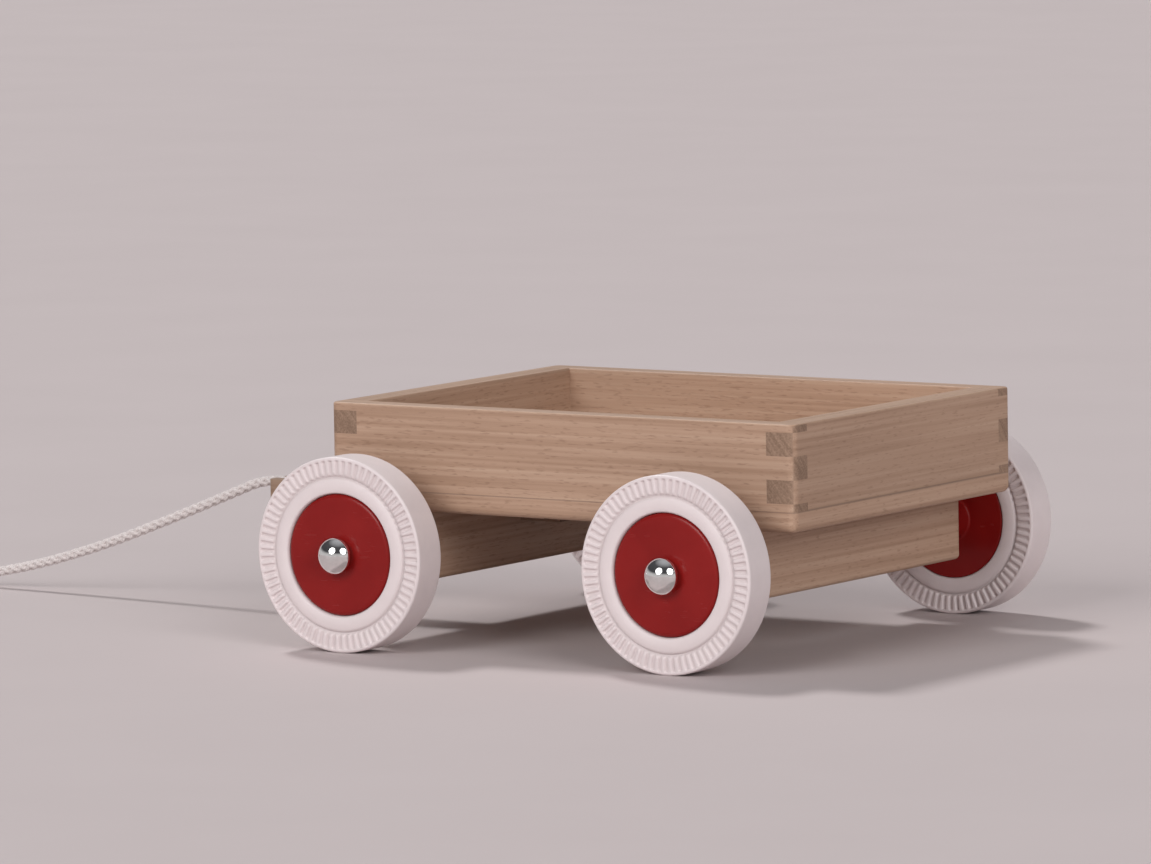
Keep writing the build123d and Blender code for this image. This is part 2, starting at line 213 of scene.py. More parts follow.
def beech_grain_group():
    """Beech along X: noise drawn out lengthwise gives streaks, slow shifts of tone and short dark flecks.
    End grain is the mean of fine pores and of noise drawn out into slanted growth rings."""
    tree = bpy.data.node_groups.new("beech_grain", "ShaderNodeTree")
    sockets = (
        ("Vector", "INPUT", "NodeSocketVector"),
        ("End Grain", "INPUT", "NodeSocketFloat"),
        ("Tone", "INPUT", "NodeSocketFloat"),
        ("Color", "OUTPUT", "NodeSocketColor"),
        ("Roughness", "OUTPUT", "NodeSocketFloat"),
        ("Height", "OUTPUT", "NodeSocketFloat"),
    )
    for name, way, kind in sockets:
        tree.interface.new_socket(name, in_out=way, socket_type=kind)
    given = tree.nodes.new("NodeGroupInput")
    result = tree.nodes.new("NodeGroupOutput")

    def stretched(vector, scale, detail):
        """Noise whose grain is 1 / scale metres long in each direction."""
        wide = put(tree, "VectorMath", {0: vector, 1: scale}, operation="MULTIPLY")
        noise = put(tree, "TexNoise", {"Vector": wide.outputs[0], "Scale": 1.0, "Detail": detail})
        return noise.outputs[0]

    straight = given.outputs["Vector"]
    slanted = put(tree, "VectorRotate", {"Vector": straight, "Angle": ring_slant}, rotation_type="X_AXIS")
    streaks = stretched(straight, streak_stretch, 5.0)
    slow = stretched(straight, tone_stretch, 2.0)
    ticks = stretched(straight, fleck_stretch, 1.0)
    pores = stretched(straight, pore_stretch, 2.0)
    rings = stretched(slanted.outputs[0], ring_stretch, 2.0)

    side = ramp(tree, streaks, [(0.30, beech_dark), (0.50, beech_middle), (0.72, beech_light)])
    shade = put(
        tree,
        "MapRange",
        {"Value": slow, "From Min": 0.3, "From Max": 0.7, "To Min": 0.94, "To Max": 1.06},
    )
    toned = put(tree, "Math", {0: shade.outputs[0], 1: given.outputs["Tone"]}, operation="MULTIPLY")
    fleck = put(
        tree,
        "MapRange",
        {"Value": ticks, "From Min": 0.60, "From Max": 0.72, "To Min": 0.0, "To Max": 0.4},
    )
    flecked = put(tree, "Mix", {0: fleck.outputs[0], 6: side, 7: (*beech_fleck, 1.0)}, data_type="RGBA")
    mixed = put(tree, "Math", {0: pores, 1: rings}, operation="ADD")
    halved = put(tree, "Math", {0: mixed.outputs[0], 1: 0.5}, operation="MULTIPLY")
    end = ramp(tree, halved.outputs[0], [(0.38, end_grain_dark), (0.64, end_grain_light)])
    cut = put(
        tree, "Mix", {0: given.outputs["End Grain"], 6: flecked.outputs[2], 7: end}, data_type="RGBA"
    )
    lit = put(tree, "VectorMath", {0: cut.outputs[2], "Scale": toned.outputs[0]}, operation="SCALE")
    tree.links.new(lit.outputs[0], result.inputs["Color"])

    open_pores = put(tree, "Math", {0: fleck.outputs[0], 1: given.outputs["End Grain"]}, operation="ADD")
    rough = put(tree, "MapRange", {"Value": open_pores.outputs[0], "To Min": 0.58, "To Max": 0.76})
    tree.links.new(rough.outputs[0], result.inputs["Roughness"])
    relief = put(tree, "Math", {0: streaks, 1: fleck.outputs[0]}, operation="SUBTRACT")
    tree.links.new(relief.outputs[0], result.inputs["Height"])
    return tree


beech_grain = beech_grain_group()


glue_line_half = 0.00015
glue_line_fade = 0.00065
glue_line_shade = 0.60
glue_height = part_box("side_panel_left")[0][2]


def beech(name, along, shift, tone, edged=False, glued=False):
    """A lacquered beech board with its grain along X, Y or Z; shift takes each board from another log.
    An edged board has a strip of long grain on its ends, where any other board shows end grain.
    A glued board darkens by its distance in height from the line where walls and bottom meet."""
    material, tree, shader = finish_of(name)
    where = put(tree, "TexCoord")
    turns = {"X": (0.0, 0.0, 0.0), "Y": (0.0, 0.0, math.pi / 2), "Z": (0.0, math.pi / 2, 0.0)}
    turned, crossed = [
        put(
            tree,
            "Mapping",
            {"Vector": where.outputs["Object"], "Location": shift, "Rotation": turns[way]},
        )
        for way in (along, "Y")
    ]
    facing = put(tree, "SeparateXYZ", {0: where.outputs["Normal"]})
    towards = put(tree, "Math", {0: facing.outputs[along]}, operation="ABSOLUTE")
    end = put(tree, "MapRange", {"Value": towards.outputs[0], "From Min": 0.62, "From Max": 0.82})
    grain = put(tree, "Group", node_tree=beech_grain)
    if edged:
        lipped = put(
            tree,
            "Mix",
            {0: end.outputs[0], 4: turned.outputs[0], 5: crossed.outputs[0]},
            data_type="VECTOR",
        )
        tree.links.new(lipped.outputs[1], grain.inputs["Vector"])
    else:
        tree.links.new(turned.outputs[0], grain.inputs["Vector"])
        tree.links.new(end.outputs[0], grain.inputs["End Grain"])
    grain.inputs["Tone"].default_value = tone
    relief = put(tree, "Bump", {"Height": grain.outputs["Height"], "Strength": 0.25, "Distance": 0.0003})
    colour = grain.outputs["Color"]
    if glued:
        place = put(tree, "SeparateXYZ", {0: where.outputs["Object"]})
        off = put(tree, "Math", {0: place.outputs["Z"], 1: glue_height}, operation="SUBTRACT")
        away = put(tree, "Math", {0: off.outputs[0]}, operation="ABSOLUTE")
        glue = put(
            tree,
            "MapRange",
            {
                "Value": away.outputs[0],
                "From Min": glue_line_half,
                "From Max": glue_line_fade,
                "To Min": glue_line_shade,
            },
        )
        lined = put(tree, "VectorMath", {0: colour, "Scale": glue.outputs[0]}, operation="SCALE")
        colour = lined.outputs[0]
    tree.links.new(colour, shader.inputs["Base Color"])
    tree.links.new(grain.outputs["Roughness"], shader.inputs["Roughness"])
    tree.links.new(relief.outputs[0], shader.inputs["Normal"])
    shader.inputs["Specular IOR Level"].default_value = 0.35
    shader.inputs["Coat Weight"].default_value = 0.05
    shader.inputs["Coat Roughness"].default_value = 0.4
    return material


def dress(node, material):
    """A CAD piece keeps its shape and takes this finish."""
    for place in nodes[node].material_slots:
        place.material = material


# Each board's node, the way of its grain, its place in the log, its tone, and whether edged and glued.
boards = (
    ("side_panel_left", "X", (0.31, 0.02, 0.07), 0.98, False, False),
    ("side_panel_right", "X", (1.73, 0.41, 0.16), 1.00, False, False),
    ("end_panel_front", "Y", (0.87, 0.66, 0.29), 0.97, False, True),
    ("end_panel_rear", "Y", (2.41, 0.93, 0.38), 0.96, False, True),
    ("bottom_board", "X", (3.19, 1.27, 0.54), 1.04, True, True),
    ("axle_beam_front", "Y", (4.03, 1.71, 0.83), 0.97, False, False),
    ("axle_beam_rear", "Y", (5.57, 2.05, 0.61), 1.02, False, False),
    ("tongue", "X", (6.11, 2.33, 0.95), 0.69, False, False),
)
for board, along, shift, tone, edged, glued in boards:
    dress(board, beech("beech_" + board, along, shift, tone, edged, glued))

# Dowels, spacers, axles and screws
# Turned beech dowels and spacer rings, drawn steel axle rods fixed in the beams, and zinc-plated
# countersunk screws in the underside.
turned_beech = beech("turned_beech", "Y", (7.3, 2.9, 1.4), 1.02)
upright_beech = beech("upright_beech", "Z", (8.3, 3.1, 1.9), 0.97)
zinc_colour = (0.62, 0.60, 0.54)
steel_colour = (0.58, 0.58, 0.59)


def drawn_metal_group():
    """Noise drawn out into streaks takes up to 15 % off the colour and half off or onto the roughness."""
    tree = bpy.data.node_groups.new("drawn_metal", "ShaderNodeTree")
    sockets = (
        ("Vector", "INPUT", "NodeSocketVector"),
        ("Stretch", "INPUT", "NodeSocketVector"),
        ("Metal", "INPUT", "NodeSocketColor"),
        ("Gloss", "INPUT", "NodeSocketFloat"),
        ("Color", "OUTPUT", "NodeSocketColor"),
        ("Roughness", "OUTPUT", "NodeSocketFloat"),
    )
    for name, way, kind in sockets:
        tree.interface.new_socket(name, in_out=way, socket_type=kind)
    given = tree.nodes.new("NodeGroupInput")
    result = tree.nodes.new("NodeGroupOutput")
    streak = put(
        tree,
        "VectorMath",
        {0: given.outputs["Vector"], 1: given.outputs["Stretch"]},
        operation="MULTIPLY",
    )
    noise = put(tree, "TexNoise", {"Vector": streak.outputs[0], "Scale": 1.0, "Detail": 3.0})
    shade = put(
        tree,
        "MapRange",
        {"Value": noise.outputs[0], "From Min": 0.2, "From Max": 0.8, "To Min": 0.85, "To Max": 1.0},
    )
    tint = put(
        tree, "VectorMath", {0: given.outputs["Metal"], "Scale": shade.outputs[0]}, operation="SCALE"
    )
    spread = put(tree, "Math", {0: noise.outputs[0], 1: 0.5}, operation="ADD")
    gloss = put(tree, "Math", {0: spread.outputs[0], 1: given.outputs["Gloss"]}, operation="MULTIPLY")
    tree.links.new(tint.outputs[0], result.inputs["Color"])
    tree.links.new(gloss.outputs[0], result.inputs["Roughness"])
    return tree


drawn_metal = drawn_metal_group()


def bare_metal(name, colour, roughness, stretch):
    """Plain metal with fine drawn streaks in its colour and gloss."""
    material, tree, shader = finish_of(name)
    where = put(tree, "TexCoord")
    streaked = put(tree, "Group", node_tree=drawn_metal)
    tree.links.new(where.outputs["Object"], streaked.inputs["Vector"])
    streaked.inputs["Stretch"].default_value = stretch
    streaked.inputs["Metal"].default_value = (*colour, 1.0)
    streaked.inputs["Gloss"].default_value = roughness
    tree.links.new(streaked.outputs["Color"], shader.inputs["Base Color"])
    tree.links.new(streaked.outputs["Roughness"], shader.inputs["Roughness"])
    shader.inputs["Metallic"].default_value = 1.0
    return material


zinc = bare_metal("zinc_plate", zinc_colour, 0.32, (900.0, 900.0, 900.0))
drawn_steel = bare_metal("drawn_steel", steel_colour, 0.28, (2500.0, 60.0, 2500.0))
for name in nodes:
    if name.startswith(("board_screw", "tongue_screw")):
        dress(name, zinc)
    elif name.startswith("beam_dowel"):
        dress(name, upright_beech)
    elif name.startswith("axle_spacer"):
        dress(name, turned_beech)
for axle in ("axle_front", "axle_rear"):
    dress(axle, drawn_steel)

# Wheels: tyres
# Soft white moulded rings pressed on the hubs. Each face has a smooth bead next to the hub, a ring
# groove, then short radial ribs under a smooth rim; the tread is plain with rounded shoulders.
corners = [(end, side) for end in ("front", "rear") for side in ("left", "right")]
tyre_ribs = 72
rib_gap = 0.0015
rib_depth = 0.0009
rib_softness = 0.00035
rib_inner = 0.0322
rib_outer = 0.0386
bead_crown = 0.0005
groove_middle = 0.0320
groove_half = 0.0009
groove_depth = 0.0011
shoulder = 0.0010
tyre_bore = 0.02505
bore_round = 0.0007
samples_per_rib = 14


def grid_mesh(name, points, closed_across):
    """A surface from a grid of points (rings, around, 3); around is closed, rings may be closed too."""
    rings, around, _ = points.shape
    index = np.arange(rings * around).reshape(rings, around)
    ahead = np.roll(index, -1, axis=1)
    if closed_across:
        first, second = index, np.roll(index, -1, axis=0)
        first_ahead, second_ahead = ahead, np.roll(ahead, -1, axis=0)
    else:
        first, second = index[:-1], index[1:]
        first_ahead, second_ahead = ahead[:-1], ahead[1:]
    quads = np.stack([first, second, second_ahead, first_ahead], axis=-1).reshape(-1, 4)
    mesh = bpy.data.meshes.new(name)
    mesh.from_pydata(points.reshape(-1, 3).tolist(), [], quads.tolist())
    mesh.polygons.foreach_set("use_smooth", np.ones(len(mesh.polygons), dtype=bool))
    return mesh


def close_up(mesh):
    """Welds points that coincide and turns every face outwards."""
    whole = bmesh.new()
    whole.from_mesh(mesh)
    bmesh.ops.remove_doubles(whole, verts=whole.verts, dist=1e-7)
    bmesh.ops.recalc_face_normals(whole, faces=whole.faces)
    whole.to_mesh(mesh)
    whole.free()
    return mesh


def add_piece(name, mesh, material, body, slot, *replaced):
    """A new piece: its finish, the body it rides on, and the CAD pieces it stands for; the slot argument
    is not used.
    """
    mesh.materials.append(material)
    piece = bpy.data.objects.new(name, mesh)
    bpy.context.collection.objects.link(piece)
    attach(piece, body)
    if replaced:
        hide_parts(*replaced)
    return piece


def smooth_step(low, high, value):
    """0 below low, 1 above high, and a smooth cubic between."""
    part = np.clip((value - low) / (high - low), 0.0, 1.0)
    return part * part * (3.0 - 2.0 * part)


def tyre_points(low, high, side):
    """The tyre's skin: one face's profile out from the bore, over the tread, and back in on the other.
    On each face the depth is the larger of the moulded profile's and that of the gaps between ribs."""
    centre_x, centre_z = (low[0] + high[0]) / 2, (low[2] + high[2]) / 2
    outer_radius = (high[0] - low[0]) / 2
    half = (high[1] - low[1]) / 2
    middle = (low[1] + high[1]) / 2
    face_radii = np.concatenate([
        np.linspace(tyre_bore, tyre_bore + 0.0008, 5),
        np.linspace(tyre_bore + 0.0012, groove_middle - groove_half, 9),
        np.linspace(groove_middle - groove_half, groove_middle + groove_half, 7)[1:],
        np.linspace(groove_middle + groove_half, rib_outer - 0.0006, 6)[1:],
        np.linspace(rib_outer - 0.0006, rib_outer + 0.0002, 5)[1:],
    ])
    over_edge = np.linspace(0.0, math.pi / 2, 9)[1:]
    arc_radii = outer_radius - shoulder + shoulder * np.sin(over_edge)
    radii = np.unique(np.round(np.concatenate([face_radii, arc_radii]), 7))
    over = np.clip(radii - (outer_radius - shoulder), 0.0, shoulder)
    drop = shoulder - np.sqrt(shoulder**2 - over**2)
    edge = bore_round * (1.0 - np.clip((radii - tyre_bore) / bore_round, 0.0, 1.0)) ** 2
    bead_place = np.clip((radii - tyre_bore) / (groove_middle - groove_half - tyre_bore), 0.0, 1.0)
    bead = bead_crown * (2.0 * bead_place - 1.0) ** 2
    groove = groove_depth * (1.0 - smooth_step(0.25, 1.0, np.abs(radii - groove_middle) / groove_half))
    face = drop + edge + np.where(radii < groove_middle, bead, 0.0) + groove

    angle = np.linspace(0.0, 2 * math.pi, tyre_ribs * samples_per_rib, endpoint=False)
    pitch = 2 * math.pi / tyre_ribs
    from_gap = np.abs((angle + pitch / 2) % pitch - pitch / 2)
    arc = radii[:, None] * from_gap[None, :]
    in_gap = 1.0 - smooth_step(rib_gap / 2 - rib_softness, rib_gap / 2 + rib_softness, arc)
    in_band = smooth_step(rib_inner - 0.0006, rib_inner, radii)
    in_band = in_band * (1.0 - smooth_step(rib_outer - 0.0005, rib_outer + 0.0002, radii))
    sunk = np.maximum(face[:, None], rib_depth * in_gap * in_band[:, None])

    tread_steps = np.linspace(-1.0, 1.0, 7)[1:-1]
    tread = np.repeat(tread_steps[:, None] * (half - shoulder), len(angle), axis=1)
    axial = np.concatenate([-(half - sunk), tread, (half - sunk)[::-1]])
    radius = np.concatenate([
        np.repeat(radii[:, None], len(angle), axis=1),
        np.full_like(tread, outer_radius),
        np.repeat(radii[::-1][:, None], len(angle), axis=1),
    ])
    recess = np.concatenate([sunk - drop[:, None], np.zeros_like(tread), (sunk - drop[:, None])[::-1]])
    points = np.stack([
        centre_x + radius * np.cos(angle),
        middle + side * axial,
        centre_z + radius * np.sin(angle),
    ], axis=-1)
    return points, recess


tyre_white = (0.765, 0.672, 0.674)
tyre_shaded = (0.545, 0.468, 0.462)
tyre_finish, tyre_tree, tyre_shader = finish_of("white_tyre")
tyre_depth = put(tyre_tree, "Attribute", attribute_name="recess")
tyre_where = put(tyre_tree, "TexCoord")
tyre_mottle = put(
    tyre_tree, "TexNoise", {"Vector": tyre_where.outputs["Object"], "Scale": 160.0, "Detail": 4.0}
)
# Painted shade: the tyre's colour darkens towards tyre_shaded with the depth of the gaps between ribs and
# of the groove. A random mottle is added on top.
tyre_recess_shade = put(
    tyre_tree,
    "MapRange",
    {"Value": tyre_depth.outputs["Fac"], "From Min": 0.0002, "From Max": 0.0012, "To Max": 0.36},
)
tyre_cloud = put(
    tyre_tree, "MapRange", {"Value": tyre_mottle.outputs[0], "From Min": 0.35, "To Max": 0.2}
)
tyre_shade_and_mottle = put(tyre_tree, "Math", {0: tyre_recess_shade.outputs[0], 1: tyre_cloud.outputs[0]}, operation="ADD")
tyre_colour = put(
    tyre_tree,
    "Mix",
    {0: tyre_shade_and_mottle.outputs[0], 6: (*tyre_white, 1.0), 7: (*tyre_shaded, 1.0)},
    data_type="RGBA",
)
tyre_grain = put(
    tyre_tree, "TexNoise", {"Vector": tyre_where.outputs["Object"], "Scale": 1800.0, "Detail": 2.0}
)
tyre_relief = put(
    tyre_tree, "Bump", {"Height": tyre_grain.outputs[0], "Strength": 0.08, "Distance": 0.0002}
)
tyre_gloss = put(
    tyre_tree, "MapRange", {"Value": tyre_mottle.outputs[0], "To Min": 0.36, "To Max": 0.60}
)
tyre_tree.links.new(tyre_colour.outputs[2], tyre_shader.inputs["Base Color"])
tyre_tree.links.new(tyre_gloss.outputs[0], tyre_shader.inputs["Roughness"])
tyre_tree.links.new(tyre_relief.outputs[0], tyre_shader.inputs["Normal"])

for end, side in corners:
    node = f"tyre_{end}_{side}"
    low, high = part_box(node)
    outward = 1 if side == "left" else -1
    points, recess = tyre_points(low, high, outward)
    mesh = close_up(grid_mesh(f"moulded_{node}", points, True))
    layer = mesh.attributes.new("recess", "FLOAT", "POINT")
    layer.data.foreach_set("value", recess.ravel())
    add_piece(f"moulded_{node}", mesh, tyre_finish, f"wheel_{end}_{side}", "white_tyre", node)

# Wheels: hubs
# Turned wooden discs in glossy red lacquer, a little below the tyre's face, with a boss on the inner
# side. The lacquer is sprayed, with soft clouds of tone, a fine peel and a few dull scuffs.
lathe_steps = 128


def rounded_outline(corner_points, radii, steps=5, support=0.00012):
    """A closed outline whose corners are rounded by quadratic arcs, with a point near each arc's ends."""
    ring = np.array(corner_points, dtype=float)
    before = np.roll(ring, 1, axis=0) - ring
    after = np.roll(ring, -1, axis=0) - ring
    before /= np.linalg.norm(before, axis=1, keepdims=True)
    after /= np.linalg.norm(after, axis=1, keepdims=True)
    size = np.array(radii, dtype=float)[:, None]
    start, stop = ring + before * size, ring + after * size
    share = np.linspace(0.0, 1.0, steps)[None, :, None]
    arc = (1 - share) ** 2 * start[:, None] + share**2 * stop[:, None]
    arc = arc + 2 * share * (1 - share) * ring[:, None]
    lead = (start + before * support)[:, None]
    trail = (stop + after * support)[:, None]
    return np.concatenate([lead, arc, trail], axis=1).reshape(-1, 2)


def lathe(name, outline, centre, side, closed=True):
    """A turned piece: an outline of (radius, y) carried round the Y axis through centre."""
    angle = np.linspace(0.0, 2 * math.pi, lathe_steps, endpoint=False)
    radius = outline[:, 0][:, None]
    points = np.stack([
        centre[0] + radius * np.cos(angle),
        np.repeat(side * outline[:, 1][:, None], lathe_steps, axis=1),
        centre[2] + radius * np.sin(angle),
    ], axis=-1)
    return close_up(grid_mesh(name, points, closed))


red_deep = (0.215, 0.0070, 0.0065)
red_bright = (0.265, 0.0110, 0.0100)
red_scuff = (0.300, 0.045, 0.040)
red_finish, red_tree, red_shader = finish_of("red_lacquer")
red_where = put(red_tree, "TexCoord")
red_cloud = put(
    red_tree, "TexNoise", {"Vector": red_where.outputs["Object"], "Scale": 45.0, "Detail": 5.0}
)
red_tone = ramp(red_tree, red_cloud.outputs[0], [(0.3, red_deep), (0.7, red_bright)])
red_slant = put(
    red_tree,
    "Mapping",
    {"Vector": red_where.outputs["Object"], "Rotation": (0.0, 0.6, 0.0), "Scale": (90.0, 90.0, 900.0)},
)
red_scratches = put(red_tree, "TexNoise", {"Vector": red_slant.outputs[0], "Scale": 1.0, "Detail": 3.0})
red_worn = put(
    red_tree, "TexNoise", {"Vector": red_where.outputs["Object"], "Scale": 60.0, "Detail": 2.0}
)
red_patch = put(
    red_tree, "MapRange", {"Value": red_worn.outputs[0], "From Min": 0.56, "From Max": 0.72}
)
red_line = put(
    red_tree,
    "MapRange",
    {"Value": red_scratches.outputs[0], "From Min": 0.60, "From Max": 0.68, "To Max": 0.4},
)
red_marks = put(
    red_tree, "Math", {0: red_patch.outputs[0], 1: red_line.outputs[0]}, operation="MULTIPLY"
)
red_colour = put(
    red_tree, "Mix", {0: red_marks.outputs[0], 6: red_tone, 7: (*red_scuff, 1.0)}, data_type="RGBA"
)
red_gloss = put(
    red_tree,
    "MapRange",
    {"Value": red_marks.outputs[0], "From Max": 0.5, "To Min": 0.26, "To Max": 0.5},
)
red_peel = put(
    red_tree, "TexNoise", {"Vector": red_where.outputs["Object"], "Scale": 420.0, "Detail": 2.0}
)
red_relief = put(
    red_tree, "Bump", {"Height": red_peel.outputs[0], "Strength": 0.06, "Distance": 0.0003}
)
red_tree.links.new(red_colour.outputs[2], red_shader.inputs["Base Color"])
red_tree.links.new(red_gloss.outputs[0], red_shader.inputs["Roughness"])
red_tree.links.new(red_relief.outputs[0], red_shader.inputs["Normal"])
red_shader.inputs["Specular IOR Level"].default_value = 0.22

hub_bore = 0.00258
boss_radius = 0.0090
boss_length = 0.0085
hub_round = 0.0010
hub_edge = 0.0021
hub_rounds = [0.0002, 0.0008, 0.0012, hub_round, hub_edge, 0.0003]
for end, side in corners:
    node = f"hub_{end}_{side}"
    low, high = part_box(node)
    outward = 1 if side == "left" else -1
    near, far = sorted((abs(low[1]), abs(high[1])))
    rim = (high[0] - low[0]) / 2
    centre = ((low[0] + high[0]) / 2, 0.0, (low[2] + high[2]) / 2)
    outline = rounded_outline(
        [
            (hub_bore, near),
            (boss_radius, near),
            (boss_radius, near + boss_length),
            (rim, near + boss_length),
            (rim, far),
            (hub_bore, far),
        ],
        hub_rounds,
    )
    mesh = lathe(f"turned_{node}", outline, centre, outward)
    add_piece(f"turned_{node}", mesh, red_finish, f"wheel_{end}_{side}", "red_lacquer", node)

# Axle ends: caps and washers
# Pressed caps of bright plated steel with a round dome over a short skirt, on thin nylon washers.
chrome_colour = (0.86, 0.85, 0.84)
chrome = bare_metal("bright_plate", chrome_colour, 0.07, (700.0, 700.0, 700.0))
nylon_colour = (0.72, 0.70, 0.64)
nylon_shaded = (0.648, 0.630, 0.576)
nylon_finish, nylon_tree, nylon_shader = finish_of("natural_nylon")
nylon_where = put(nylon_tree, "TexCoord")
nylon_cloud = put(
    nylon_tree, "TexNoise", {"Vector": nylon_where.outputs["Object"], "Scale": 500.0, "Detail": 3.0}
)
nylon_tone = ramp(nylon_tree, nylon_cloud.outputs[0], [(0.3, nylon_shaded), (0.7, nylon_colour)])
nylon_tree.links.new(nylon_tone, nylon_shader.inputs["Base Color"])
nylon_shader.inputs["Roughness"].default_value = 0.5

cap_edge = 0.0004
cap_swell = 0.0011
cap_skirt = 0.0032
cap_bore = 0.0025
cap_socket = 0.0050
cap_bulge = 0.0001
for end, side in corners:
    node = f"axle_cap_{end}_{side}"
    low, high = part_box(node)
    outward = 1 if side == "left" else -1
    near, far = sorted((abs(low[1]), abs(high[1])))
    rim = (high[0] - low[0]) / 2 + cap_swell
    centre = ((low[0] + high[0]) / 2, 0.0, (low[2] + high[2]) / 2)
    rise = far - near - cap_skirt
    dome = (rim**2 + rise**2) / (2 * rise)
    slope = np.linspace(math.asin(rim / dome), 0.0, 32)
    crown = np.stack([dome * np.sin(slope), far - dome + dome * np.cos(slope)], axis=-1)
    skirt = np.array([
        (0.0, near + cap_socket),
        (cap_bore, near + cap_socket),
        (cap_bore, near),
        (rim - 3 * cap_edge, near),
        (rim - cap_edge, near + cap_edge),
        (rim, near + cap_skirt - 3 * cap_edge),
        (rim + cap_bulge, near + cap_skirt - cap_edge),
    ])
    mesh = lathe(f"domed_{node}", np.concatenate([skirt, crown]), centre, outward, closed=False)
    mesh.set_sharp_from_angle(angle=math.radians(50))
    add_piece(f"domed_{node}", mesh, chrome, "chassis", "cap_chrome", node)
    dress(f"axle_washer_{end}_{side}", nylon_finish)

# Pull cord
# A limp white cotton cord of six plaited strands over a core. It leaves the tongue's nose near the
# top and falls to the floor, where its spare length lies in a neat two-layer coil.
cord_diameter = 0.0044
cord_floor = 0.0023
cord_depth = 0.0016
tongue_low, tongue_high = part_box("tongue")
nose = tongue_high[0]
cord_exit = (nose, 0.0, tongue_high[2] - cord_depth)
cord_drop = [
    (0.0, cord_exit[2]),
    (0.0085, cord_exit[2]),
    (0.0240, 0.0472),
    (0.0540, 0.0356),
    (0.0920, 0.0216),
    (0.1290, 0.0109),
    (0.1620, 0.0046),
    (0.1860, cord_floor),
    (0.2020, cord_floor),
]
cord_route = [(nose + ahead, 0.0, height) for ahead, height in cord_drop]

coil_radius = 0.0280
coil_pitch = 0.0055
coil_layer_turns = 0.875
coil_climb_turns = 0.5
coil_layer_step = 0.0050
coil_points_per_turn = 20
coil_start = cord_route[-1][0] + cord_diameter
coil_turns = 2 * coil_layer_turns + coil_climb_turns
coil_turn = np.linspace(0.0, coil_turns, round(coil_turns * coil_points_per_turn) + 1)
climb = np.clip((coil_turn - coil_layer_turns) / coil_climb_turns, 0.0, 1.0)
coil_inner = coil_radius - coil_pitch * coil_layer_turns
coil_reach = np.where(
    coil_turn < coil_layer_turns,
    coil_radius - coil_pitch * coil_turn,
    coil_inner + coil_pitch * np.maximum(coil_turn - coil_layer_turns - coil_climb_turns, 0.0),
)
coil_reach = coil_reach - coil_pitch * coil_climb_turns * climb * (1 - climb)
coil_angle = 2 * math.pi * coil_turn - math.pi / 2
coil_route = np.stack([
    coil_start + coil_reach * np.cos(coil_angle),
    coil_radius + coil_reach * np.sin(coil_angle),
    cord_floor + coil_layer_step * climb**2 * (3 - 2 * climb),
], axis=-1)

knob_low, knob_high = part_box("pull_knob")
knob_height = (knob_low[2] + knob_high[2]) / 2
tail_x, tail_y, tail_z = coil_route[-1] + np.array([0.0, cord_diameter, 0.0])
tail_rise = [(0.0, tail_z), (0.0150, tail_z), (0.0400, knob_height), (0.0540, knob_height)]
tail_route = [(tail_x, tail_y + along, height) for along, height in tail_rise]


def smooth_line(name, route):
    """Points along a NURBS curve that has the route as its control points."""
    curve = bpy.data.curves.new(name, "CURVE")
    curve.dimensions = "3D"
    curve.resolution_u = 12
    line = curve.splines.new("NURBS")
    line.points.add(len(route) - 1)
    line.points.foreach_set("co", np.column_stack([np.array(route), np.ones(len(route))]).ravel())
    line.order_u = 3
    line.use_endpoint_u = True
    holder = bpy.data.objects.new(name, curve)
    bpy.context.collection.objects.link(holder)
    bpy.context.view_layer.update()
    mesh = bpy.data.meshes.new_from_object(holder.evaluated_get(bpy.context.evaluated_depsgraph_get()))
    points = np.empty(len(mesh.vertices) * 3)
    mesh.vertices.foreach_get("co", points)
    bpy.data.objects.remove(holder)
    bpy.data.curves.remove(curve)
    bpy.data.meshes.remove(mesh)
    return points.reshape(-1, 3)


def evenly(points, step):
    """The same line at even steps, with its distance along."""
    lengths = np.linalg.norm(np.diff(points, axis=0), axis=1)
    along = np.concatenate([[0.0], np.cumsum(lengths)])
    spots = np.linspace(0.0, along[-1], max(2, round(along[-1] / step) + 1))
    return np.stack([np.interp(spots, along, points[:, k]) for k in range(3)], axis=-1), spots


strand_ways = 3
strand_pitch = 0.0135
strand_reach = 0.00132
strand_wave = 0.00025
strand_radius = 0.00074
strand_sides = 8
strand_wide = 1.15
strand_flat = 0.95
core_radius = 0.00140


def tube_points(middle, across, upward, radius):
    """A tube about a line: at each point, cosine of one cross direction plus sine of the other."""
    angle = np.linspace(0.0, 2 * math.pi, strand_sides, endpoint=False)[None, :, None]
    return middle[:, None] + radius * (np.cos(angle) * across[:, None] + np.sin(angle) * upward[:, None])


def frames(points, reference):
    """Two directions across a line: square to it and to the reference, and square to both."""
    along = np.gradient(points, axis=0)
    along /= np.linalg.norm(along, axis=1, keepdims=True)
    across = np.cross(np.broadcast_to(reference, along.shape), along)
    across /= np.linalg.norm(across, axis=1, keepdims=True)
    return across, np.cross(along, across)


def frames_from(points, out):
    """Cross directions of a strand: sideways on the cord's skin, and outwards from it."""
    along = np.gradient(points, axis=0)
    along /= np.linalg.norm(along, axis=1, keepdims=True)
    side_way = np.cross(along, out)
    side_way /= np.linalg.norm(side_way, axis=1, keepdims=True)
    return side_way, np.cross(side_way, along)


